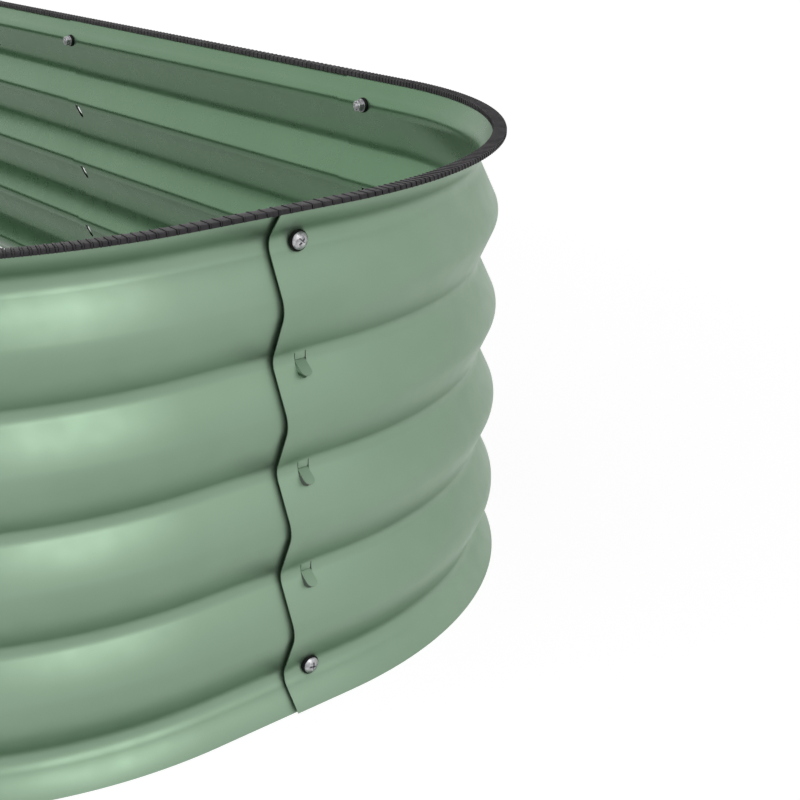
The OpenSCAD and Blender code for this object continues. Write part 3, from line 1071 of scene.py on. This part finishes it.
@dataclass
class Fasteners:
    """The bolts, washers and nuts of one row of seams.

    Every piece is drawn along its bolt's axis: local X points out of the wall, and zero is the middle
    of the corrugation.
    """

    row: SeamRow
    plan: BedPlan = BedPlan()
    profile: SheetProfile = SheetProfile()
    shape: FastenerShape = FastenerShape()
    round_steps: int = 48
    thread_steps: int = 6
    crisp_angle: float = 32
    seed: int = 7

    def _groove_x(self, side: Side, height: float) -> float:
        """Where a face of the sheet lies at a height above or below the bolt's axis."""
        gap = self.profile.sheet_t / 2 + self.shape.seat_gap
        centre = self.profile.valley_reach + self.profile.valley_r
        r = self.profile.valley_r - side.value * gap
        step = self.plan.lap_step if side is Side.OUTER else 0.0
        return centre + step - math.sqrt(r ** 2 - height ** 2)

    @property
    def _head_x(self) -> float:
        """Where the underside of the head lies."""
        return self._groove_x(Side.OUTER, self.shape.rubber_d / 2) + self.shape.outer_rubber_t

    @property
    def _washer_x(self) -> float:
        """Where the inner face of the inner rubber lies, against the steel washer."""
        return self._groove_x(Side.INNER, 0.0) - self.shape.inner_rubber_t

    def _lathe(self, name: str, rows: Sequence[Sequence[Point2]]) -> Mesh:
        """Joins rings into a closed turned shape.

        Args:
            name: The mesh's name.
            rows: For each step round the axis, the section as place on the axis and radius. A section
                whose ends have no radius is closed by poles, and any other is a closed loop.

        Returns:
            The mesh, with its faces pointing outwards.
        """
        steps, count = len(rows), len(rows[0])
        poles = rows[0][0][1] == 0.0
        points = [(x, r * math.cos(2 * math.pi * k / steps), r * math.sin(2 * math.pi * k / steps))
                  for k, section in enumerate(rows) for x, r in section]
        mesh = bmesh.new()
        spots = [mesh.verts.new(point) for point in points]
        for k in range(steps):
            near, far = k * count, (k + 1) % steps * count
            for i in range(count - 1 if poles else count):
                j = (i + 1) % count
                mesh.faces.new([spots[near + i], spots[near + j], spots[far + j], spots[far + i]])
        bmesh.ops.remove_doubles(mesh, verts=mesh.verts, dist=1e-7)
        bmesh.ops.recalc_face_normals(mesh, faces=mesh.faces)
        data = bpy.data.meshes.new(name)
        mesh.to_mesh(data)
        mesh.free()
        return data

    def _turn(self, name: str, section: Sequence[Point2]) -> Mesh:
        """Turns one section all the way round the axis."""
        return self._lathe(name, [section] * self.round_steps)

    def _recess(self) -> Object:
        """Makes the cutter for the cross recess, narrower towards its floor."""
        shape = self.shape
        arm, half = shape.recess_span / 2, shape.recess_w / 2
        outline = [(c * y - s * z, s * y + c * z) for c, s in ((1, 0), (0, 1), (-1, 0), (0, -1))
                   for y, z in ((arm, -half), (arm, half), (half, half))]
        top = self._head_x + shape.head_h
        points = [(top - depth, y * scale, z * scale)
                  for depth, scale in shape.recess_taper for y, z in outline]
        faces = tube_faces(len(outline), len(shape.recess_taper))
        return link_object("recess", mesh_from("recess", points, faces))

    def _bolt(self) -> Object:
        """Makes a bolt: domed head with a cross recess, plain neck, rolled thread and chamfered tip."""
        shape = self.shape
        dome_h = shape.head_h - shape.head_rim
        dome_r = (shape.head_d ** 2 / 4 + dome_h ** 2) / (2 * dome_h)
        span = math.asin(shape.head_d / 2 / dome_r)
        crown = self._head_x + shape.head_h - dome_r
        head = [(crown + dome_r * math.cos(a), dome_r * math.sin(a)) for a in np.linspace(0, span, 10)]
        head[0] = (head[0][0], 0.0)
        seat, edge, shank = self._head_x, shape.head_d / 2, shape.bolt_d / 2
        head += [(seat + shape.head_soft, edge), (seat, edge - shape.head_soft)]
        tip = seat - shape.bolt_l
        start = tip + shape.thread_l
        neck = [(seat, shank + shape.neck_flare), (seat - shape.neck_flare, shank), (start, shank)]
        turns = int(shape.thread_l / shape.thread_pitch * self.thread_steps)
        rows = []
        for k in range(self.round_steps):
            thread = []
            for step in range(1, turns):
                x = start - shape.thread_l * step / turns
                wave = abs(((x / shape.thread_pitch + k / self.round_steps) % 1.0) * 2 - 1)
                chamfer = shank - max(0.0, shape.tip_chamfer - (x - tip))
                thread.append((x, min(chamfer, shank - shape.thread_depth * (1 - wave))))
            rows.append([*head, *neck, *thread, (tip, shank - shape.tip_in), (tip, 0.0)])
        bolt = link_object("bolt", self._lathe("bolt", rows))
        cutter = self._recess()
        cut = bolt.modifiers.new("recess", "BOOLEAN")
        cut.operation, cut.solver, cut.object = "DIFFERENCE", "EXACT", cutter
        apply_modifiers(bolt)
        bpy.data.objects.remove(cutter)
        return bolt

    def _rubber(self, side: Side) -> Object:
        """Makes a rubber washer that is pressed into the groove or over the ridge of the sheet."""
        shape = self.shape
        plane = self._head_x if side is Side.OUTER else self._washer_x
        bore = shape.bolt_d / 2 + shape.washer_gap
        edge = [(shape.rubber_d / 2 - inwards, share) for inwards, share in shape.rubber_section]
        section = [(bore, 0.0), *edge, (bore, 1.0)]
        rows = []
        for k in range(self.round_steps):
            height = math.sin(2 * math.pi * k / self.round_steps)
            seats = [(self._groove_x(side, r * height), r, share) for r, share in section]
            rows.append([(seat + share * (plane - seat), r) for seat, r, share in seats])
        return link_object(f"rubber_{side.name.lower()}", self._lathe("rubber", rows))

    def _steel_washer(self) -> Object:
        """Makes a stamped steel washer with slightly rounded edges."""
        shape = self.shape
        outer, inner = self._washer_x, self._washer_x - shape.steel_washer_t
        bore, edge, soft = shape.bolt_d / 2 + shape.washer_gap, shape.steel_washer_d / 2, shape.washer_soft
        section = [(outer, bore), (outer, edge - soft), (outer - soft, edge), (inner + soft, edge),
                   (inner, edge - soft), (inner, bore)]
        return link_object("steel_washer", self._turn("steel_washer", section))

    def _nut(self) -> Object:
        """Makes a hex nut with chamfered corners and a countersunk bore."""
        shape = self.shape
        outer = self._washer_x - shape.steel_washer_t
        inner = outer - shape.nut_h
        bore, flat, sink = shape.bolt_d / 2 + shape.thread_gap, shape.nut_af / 2, shape.nut_sink
        face = shape.nut_face * flat
        rows = []
        for k in range(self.round_steps):
            turn = (2 * math.pi * k / self.round_steps + math.pi / 6) % (math.pi / 3) - math.pi / 6
            hexagon = flat / math.cos(turn)
            drop = (hexagon - face) * math.tan(shape.nut_chamfer)
            rows.append([(outer, bore + sink), (outer, face), (outer - drop, hexagon),
                         (inner + drop, hexagon), (inner, face), (inner, bore + sink),
                         (inner + sink, bore), (outer - sink, bore)])
        return link_object("nut", self._lathe("nut", rows))

    def build(self, tree: NodeTree, zinc: Material, rubber: Material) -> None:
        """Sets every fastener of the row and hands each group over to the frame.

        Args:
            tree: The fastening tree.
            zinc: Finish of the bolts, steel washers and nuts.
            rubber: Finish of the rubber washers.
        """
        kinds = (
            ("bolts", self._bolt(), Slot.ZINC, zinc, math.pi),
            ("outer_rubbers", self._rubber(Side.OUTER), Slot.WASHER, rubber, 0.0),
            ("inner_rubbers", self._rubber(Side.INNER), Slot.WASHER, rubber, 0.0),
            ("steel_washers", self._steel_washer(), Slot.ZINC, zinc, math.pi),
            ("nuts", self._nut(), Slot.ZINC, zinc, math.pi),
        )
        heights = self.profile.valley_heights
        seams = self.plan.seams(self.row)
        for kind, model, slot, finish, spin in kinds:
            node = f"{kind}_{self.row.value}"
            seats = mesh_from(node, [(x, y, z) for x, y, _ in seams for z in (heights[0], heights[-1])], [])
            facing = [turn for _, _, turn in seams for _ in range(2)]
            seats.attributes.new("facing", "FLOAT", "POINT").data.foreach_set("value", facing)
            piece = grow(f"{node}_made", seats, tree, {
                "Piece": model, "Spin": spin, "Seed": self.seed, "Finish": finish})
            bpy.data.objects.remove(model)
            smooth_by_angle(piece.data, self.crisp_angle)
            hand_over(piece, node)


def hand_over(piece: Object, node: str) -> None:
    """Tells the frame what a finished piece rides on and stands for."""
    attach(piece, BODY)
    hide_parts(node)
    LOG.info("%s: %d faces, stands for %s", piece.name, len(piece.data.polygons), node)


@dataclass(frozen=True)
class Finish:
    """A finish of two tones in soft clouds, with a fine grain and patches of more and less gloss.

    Attributes:
        name: The material's name.
        tones: Hex values of the two tones.
        cloud: Width and detail of the clouds.
        grain: Width and detail of the grain.
        grain_h: Height of the grain.
        grain_share: Share of the grain's height that shows.
        patch: Width and detail of the patches of gloss.
        roughness: Roughness of the glossiest and of the dullest patches.
        metallic: How far the surface reflects as a metal does.
        ior: Index of refraction, or None for the shader's own.
    """

    name: str
    tones: tuple[str, str]
    cloud: Pair
    grain: Pair
    grain_h: float
    patch: Pair
    roughness: Pair
    grain_share: float = 1.0
    metallic: float = 0.0
    ior: float | None = None

    @staticmethod
    def noise(tree: NodeTree, size: float, detail: float) -> Node:
        """Adds noise whose blotches are about as wide as the size."""
        place = add_node(tree, "ShaderNodeTexCoord").outputs["Object"]
        return add_node(tree, "ShaderNodeTexNoise", {"Vector": place, "Scale": 1 / size, "Detail": detail})

    def patches(self, tree: NodeTree, look: Pair, low: float, high: float) -> Node:
        """Adds patches of a width and detail that run from a low to a high value."""
        return add_node(tree, "ShaderNodeMapRange", {
            "Value": self.noise(tree, *look), "From Min": NOISE_RANGE[0], "From Max": NOISE_RANGE[1],
            "To Min": low, "To Max": high})

    def clouds(self, tree: NodeTree, look: Pair, tones: tuple[str, str]) -> NodeSocket:
        """Adds two tones that drift into each other in clouds of a width and detail."""
        return self.blend(tree, self.patches(tree, look, 0.0, 1.0), *map(hex_to_linear, tones))

    @staticmethod
    def blend(tree: NodeTree, share: Node, first: Any, second: Any) -> NodeSocket:
        """Blends two colours, each a value or a socket."""
        mix = add_node(tree, "ShaderNodeMix", {"Factor": share, 6: first, 7: second}, data_type="RGBA")
        return mix.outputs[2]

    def colour(self, tree: NodeTree) -> NodeSocket:
        """Adds the colour."""
        return self.clouds(tree, self.cloud, self.tones)

    def gloss(self, tree: NodeTree) -> Node:
        """Adds the roughness."""
        return self.patches(tree, self.patch, *self.roughness)

    def make(self) -> Material:
        """Builds the material."""
        material = bpy.data.materials.new(self.name)
        tree = empty_tree(material)
        bumps = add_node(tree, "ShaderNodeBump", {
            "Height": self.noise(tree, *self.grain), "Strength": self.grain_share, "Distance": self.grain_h})
        looks = {"Base Color": self.colour(tree), "Metallic": self.metallic, "Normal": bumps,
                 "Roughness": self.gloss(tree)}
        if self.ior is not None:
            looks["IOR"] = self.ior
        shader = add_node(tree, "ShaderNodeBsdfPrincipled", looks)
        add_node(tree, "ShaderNodeOutputMaterial", {"Surface": shader})
        return material


@dataclass(frozen=True)
class PaintedSheet(Finish):
    """Coil-painted galvanised steel sheet: a satin metallic-effect coat, rolled on flat before forming.

    The eye sees soft, broad highlights along the crests, dark green lines in the valleys where the
    coat mirrors itself, a very fine orange peel, a slight cloudiness of tone, the bare zinc at the
    cut edges, and inside the bed a glossier inner face with narrow dark lines at the bends, whose
    darker tone is painted shade for the shaded inside of the bed.
    """

    name: str = "painted_galvanised_sheet"
    tones: tuple[str, str] = ("8EA990", "94AE96")
    cloud: Pair = (90 * MM, 4.0)
    grain: Pair = (1.6 * MM, 2.0)
    grain_h: float = 0.006 * MM
    patch: Pair = (14 * MM, 2.0)
    roughness: Pair = (0.41, 0.47)
    metallic: float = 0.72
    # Tones of the inner face: the coat a shade darker, as painted shade for the shaded inside of the bed.
    inner_painted_shade_tones: tuple[str, str] = ("6A8C6D", "6F9172")
    back_roughness: float = 0.64
    zinc_tones: tuple[str, str] = ("B4BDB4", "98A398")
    zinc_cloud: Pair = (1.2 * MM, 2.0)

    @staticmethod
    def _only(tree: NodeTree, side: Side) -> Node:
        """Adds a factor that is one on a side of the sheet and nought elsewhere."""
        face = add_node(tree, "ShaderNodeAttribute", attribute_name="side", attribute_type="GEOMETRY")
        return add_node(tree, "ShaderNodeMath", {0: face.outputs["Fac"], 1: float(side.value), 2: 0.5},
                        operation="COMPARE")

    def colour(self, tree: NodeTree) -> NodeSocket:
        """Adds the coat outside, a darker tone inside that is painted shade for the bed's inside, and bare
        zinc at the cut edges.
        """
        # The inner face's darker tones are painted shade for the inside of the bed.
        back = self.clouds(tree, self.cloud, self.inner_painted_shade_tones)
        coat = self.blend(tree, self._only(tree, Side.INNER), super().colour(tree), back)
        zinc = self.clouds(tree, self.zinc_cloud, self.zinc_tones)
        return self.blend(tree, self._only(tree, Side.CUT), coat, zinc)

    def gloss(self, tree: NodeTree) -> Node:
        """Adds the roughness, of which the inner face has a share."""
        share = add_node(tree, "ShaderNodeMapRange", {
            "Value": self._only(tree, Side.INNER), "To Min": 1.0, "To Max": self.back_roughness})
        return add_node(tree, "ShaderNodeMath", {0: super().gloss(tree), 1: share}, operation="MULTIPLY")


@dataclass(frozen=True)
class ExtrudedRubber(Finish):
    """Extruded EPDM trim: matt black rubber that greys where light grazes its bloomed skin."""

    name: str = "extruded_epdm_rubber"
    tones: tuple[str, str] = ("2F2D30", "4F4C4F")
    cloud: Pair = (9 * MM, 3.0)
    grain: Pair = (0.7 * MM, 2.0)
    grain_h: float = 0.03 * MM
    grain_share: float = 0.6
    patch: Pair = (3 * MM, 2.0)
    roughness: Pair = (0.52, 0.66)
    ior: float | None = 1.42


@dataclass(frozen=True)
class MouldedRubber(Finish):
    """Moulded EPDM washers: deep black, a little glossier than the trim where the mould was polished."""

    name: str = "moulded_epdm_rubber"
    tones: tuple[str, str] = ("08080A", "101011")
    cloud: Pair = (2.5 * MM, 3.0)
    grain: Pair = (0.5 * MM, 2.0)
    grain_h: float = 0.02 * MM
    grain_share: float = 0.5
    patch: Pair = (2 * MM, 2.0)
    roughness: Pair = (0.5, 0.65)
    ior: float | None = 1.3


@dataclass(frozen=True)
class ZincPlate(Finish):
    """Bright zinc-plated steel: a soft silver with cloudy passivation and small handling marks."""

    name: str = "zinc_plated_steel"
    tones: tuple[str, str] = ("CFCFD1", "7E7E82")
    cloud: Pair = (2.2 * MM, 4.0)
    grain: Pair = (0.8 * MM, 3.0)
    grain_h: float = 0.06 * MM
    grain_share: float = 0.7
    patch: Pair = (1.5 * MM, 3.0)
    roughness: Pair = (0.36, 0.56)
    metallic: float = 1.0


@dataclass(frozen=True)
class Softbox:
    """A large square lamp that points at the bed."""

    name: str
    azimuth: float
    elevation: float
    distance: float
    size: float
    power: float
    target: Point3 = (0.6, 0.0, 0.15)

    def place(self) -> None:
        """Sets the lamp up round its target."""
        data = bpy.data.lights.new(self.name, "AREA")
        data.shape, data.size, data.energy = "DISK", self.size, self.power
        lamp = link_object(self.name, data)
        turn, tilt = math.radians(self.azimuth), math.radians(self.elevation)
        away = Vector((math.cos(tilt) * math.cos(turn), math.cos(tilt) * math.sin(turn), math.sin(tilt)))
        lamp.location = Vector(self.target) + away * self.distance
        lamp.rotation_euler = away.to_track_quat("Z", "Y").to_euler()


@dataclass(frozen=True)
class Studio:
    """Plain white floor, soft light and the camera at the photograph's viewing angle.

    Attributes:
        camera_place: Where the camera stands.
        camera_yaw: The direction in which it looks, in degrees from the X axis.
        camera_pitch: Degrees by which it looks up.
        lens: Its focal length in millimetres.
        ground_size: Length and width of the floor inside the bed, which ends under the wall's foot.
        ground_corner: Radius of its corners.
        floor_size: Length of the floor's sides.
        floor_grey: Tone of the floor's skin that takes the bed's shadow, under its white glow.
        floor_dark: Tone of the floor outside the bed for rays that carry light.
        ground: Tone of the floor inside the bed.
        ground_glow: Strength of the floor inside the bed for glossy rays.
        floor_glow: Strength of the white glow beside the bed, which grows to one over glow_reach.
        ambient: Strength of the world for rays that carry light.
    """

    camera_place: Point3 = (1.60825, -0.39404, 0.47743)
    camera_yaw: float = 140.351
    camera_pitch: float = -21.81
    lens: float = 63.695
    ground_size: Pair = (2054 * MM, 620 * MM)
    ground_corner: float = 262 * MM
    floor_size: float = 60.0
    floor_grey: str = "7C7C7C"
    floor_dark: str = "2A2A2A"
    ground: str = "C4C4C4"
    ground_glow: float = 0.46
    floor_glow: float = 0.93
    glow_reach: float = 1200 * MM
    ambient: float = 0.03
    lamps: tuple[Softbox, ...] = (
        Softbox("key_light", -4, 34, 4.0, 2.4, 34),
        Softbox("side_light", -104, 11, 4.0, 3.0, 58),
        Softbox("top_light", -70, 72, 4.0, 2.0, 12),
    )

    def _camera(self) -> None:
        """Sets up the camera."""
        data = bpy.data.cameras.new("camera")
        data.lens = self.lens
        camera = link_object("camera", data)
        camera.location = self.camera_place
        camera.rotation_euler = Euler((math.radians(90 + self.camera_pitch), 0.0,
                                       math.radians(self.camera_yaw - 90)))
        bpy.context.scene.camera = camera

    @staticmethod
    def _seen(tree: NodeTree) -> Node:
        """Adds a factor that is one for rays that show the background: camera, glossy and transmission."""
        path = add_node(tree, "ShaderNodeLightPath")
        first = add_node(tree, "ShaderNodeMath", {
            0: path.outputs["Is Camera Ray"], 1: path.outputs["Is Glossy Ray"]}, operation="MAXIMUM")
        return add_node(tree, "ShaderNodeMath", {
            0: first, 1: path.outputs["Is Transmission Ray"]}, operation="MAXIMUM")

    def _distance(self, tree: NodeTree) -> Node:
        """Adds the distance of a point of the floor from the bed, below nought on the ground inside it."""
        spot = add_node(tree, "ShaderNodeTexCoord").outputs["Object"]
        place = add_node(tree, "ShaderNodeSeparateXYZ", {0: spot})
        beyond = []
        for axis, length in zip("XY", self.ground_size):
            far = add_node(tree, "ShaderNodeMath", {0: place.outputs[axis]}, operation="ABSOLUTE")
            over = add_node(tree, "ShaderNodeMath", {
                0: far, 1: length / 2 - self.ground_corner}, operation="SUBTRACT")
            beyond.append(add_node(tree, "ShaderNodeMath", {0: over, 1: 0.0}, operation="MAXIMUM"))
        corner = add_node(tree, "ShaderNodeCombineXYZ", dict(enumerate(beyond)))
        reach = add_node(tree, "ShaderNodeVectorMath", {0: corner}, operation="LENGTH")
        return add_node(tree, "ShaderNodeMath", {
            0: reach.outputs["Value"], 1: self.ground_corner}, operation="SUBTRACT")

    def _floor(self) -> None:
        """Lays the floor, as an even square.

        Outside the bed it is white to camera, glossy and transmission rays, with the bed's faint
        shadow, and dark to the rays that carry light. Inside it is pale ground in the bed's own
        shade, with a little glow for glossy rays alone, so that the inner walls have a floor to mirror.
        """
        half = self.floor_size / 2
        corners = [(-half, -half, 0), (half, -half, 0), (half, half, 0), (-half, half, 0)]
        floor = link_object("floor", mesh_from("floor", corners, [(0, 1, 2, 3)]))
        material = bpy.data.materials.new("studio_floor")
        tree = empty_tree(material)
        distance = self._distance(tree)
        outside = add_node(tree, "ShaderNodeMath", {0: distance, 1: 0.0}, operation="GREATER_THAN")
        shown = add_node(tree, "ShaderNodeMath", {0: self._seen(tree), 1: outside}, operation="MULTIPLY")
        glow = add_node(tree, "ShaderNodeMapRange", {
            "Value": distance, "From Max": self.glow_reach, "To Min": self.floor_glow, "To Max": 1.0})
        glossy = add_node(tree, "ShaderNodeLightPath").outputs["Is Glossy Ray"]
        mirrored = add_node(tree, "ShaderNodeMath", {0: glossy, 1: self.ground_glow}, operation="MULTIPLY")
        pale, ground, dark = (add_node(tree, "ShaderNodeBsdfDiffuse", {"Color": hex_to_linear(tone)})
                              for tone in (self.floor_grey, self.ground, self.floor_dark))
        light, sheen = (add_node(tree, "ShaderNodeEmission", {"Color": WHITE, "Strength": strength})
                        for strength in (glow, mirrored))
        white = add_node(tree, "ShaderNodeAddShader", {0: pale, 1: light})
        inside = add_node(tree, "ShaderNodeAddShader", {0: ground, 1: sheen})
        plain = add_node(tree, "ShaderNodeMixShader", {0: outside, 1: inside, 2: dark})
        surface = add_node(tree, "ShaderNodeMixShader", {0: shown, 1: plain, 2: white})
        add_node(tree, "ShaderNodeOutputMaterial", {"Surface": surface})
        floor.data.materials.append(material)

    def _world(self) -> None:
        """Surrounds the bed with white for the camera and hardly any light of its own for the bed."""
        world = bpy.data.worlds.new("studio")
        tree = empty_tree(world)
        strength = add_node(tree, "ShaderNodeMapRange", {
            "Value": self._seen(tree), "To Min": self.ambient, "To Max": 1.0})
        light = add_node(tree, "ShaderNodeBackground", {"Color": WHITE, "Strength": strength})
        add_node(tree, "ShaderNodeOutputWorld", {"Surface": light})
        bpy.context.scene.world = world

    def build(self) -> None:
        """Sets up camera, floor, world and lamps."""
        self._camera()
        self._floor()
        self._world()
        for lamp in self.lamps:
            lamp.place()
        bpy.context.scene.view_settings.view_transform = "Standard"


@dataclass
class GardenBed:
    """The whole bed: ten panels in a ring, two lengths of trim and three rows of fasteners."""

    plan: BedPlan = BedPlan()
    profile: SheetProfile = SheetProfile()
    section_steps: int = 24

    def panels(self) -> list[WallPanel]:
        """Lists the panels with the lines that they follow."""
        plan = self.plan
        inset, lap, step = plan.bolt_inset, plan.corner_lap, plan.lap_step
        from_end = Route(
            (plan.bend_x + step + plan.corner_r, plan.mid_bend_y - plan.end_short_tail - inset), math.pi / 2,
            (plan.end_short_tail + inset, plan.side_tail + step + lap), plan.corner_r)
        to_end = Route(
            (plan.bend_x - plan.side_tail - inset, -plan.mid_bend_y - step - plan.corner_r), 0.0,
            (plan.side_tail + inset, plan.end_long_tail + step + lap), plan.corner_r)
        panels = [
            WallPanel(f"corner_panel_{place}", route, route.length - lap)
            for place, route in (("right_back", from_end), ("left_front", from_end.turned_round()),
                                 ("right_front", to_end), ("left_back", to_end.turned_round()))]
        tilt = math.atan(step / plan.seam_pitch)
        names_of = {SeamRow.BACK: ("right", "middle", "left"), SeamRow.FRONT: ("left", "middle", "right")}
        for row, names in names_of.items():
            for (x, y, facing), name in zip(plan.seams(row), names):
                out = step + inset * math.sin(tilt)
                back = inset * math.cos(tilt)
                start = (x + out * math.cos(facing) + back * math.sin(facing),
                         y + out * math.sin(facing) - back * math.cos(facing))
                straights = (plan.seam_pitch + 2 * inset,)
                route = Route(start, facing + math.pi / 2 + tilt, straights, plan.corner_r)
                panels.append(WallPanel(f"side_panel_{row.name.lower()}_{name}", route, route.length - inset))
        return panels

    def trims(self) -> list[EdgeTrim]:
        """Lists the two lengths of trim."""
        plan = self.plan
        straights = (plan.bend_x, 2 * plan.mid_bend_y, plan.bend_x)
        half = Route((0.0, -plan.side_wall_y), 0.0, straights, plan.corner_r)
        return [EdgeTrim("edge_trim_right", half), EdgeTrim("edge_trim_left", half.turned_round())]

    def build(self) -> None:
        """Makes every piece and hands it over to the frame."""
        sheet, trim = PaintedSheet().make(), ExtrudedRubber().make()
        zinc, rubber = ZincPlate().make(), MouldedRubber().make()
        section = poly_curve("sheet_section", [(u, 0.0, z) for u, z in self.profile.line(self.section_steps)])
        forming, bending, fastening = forming_tree(), bending_tree(), fastening_tree()
        for panel in self.panels():
            hand_over(panel.build(forming, section, sheet), panel.node)
        bpy.data.objects.remove(section)
        for edge in self.trims():
            hand_over(edge.build(bending, trim), edge.node)
        for row in SeamRow:
            Fasteners(row).build(fastening, zinc, rubber)


def main() -> None:
    """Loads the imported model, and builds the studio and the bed."""
    logging.basicConfig(level=logging.INFO, format="%(name)s: %(message)s")
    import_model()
    Studio().build()
    GardenBed().build()


if __name__ == "__main__":
    main()
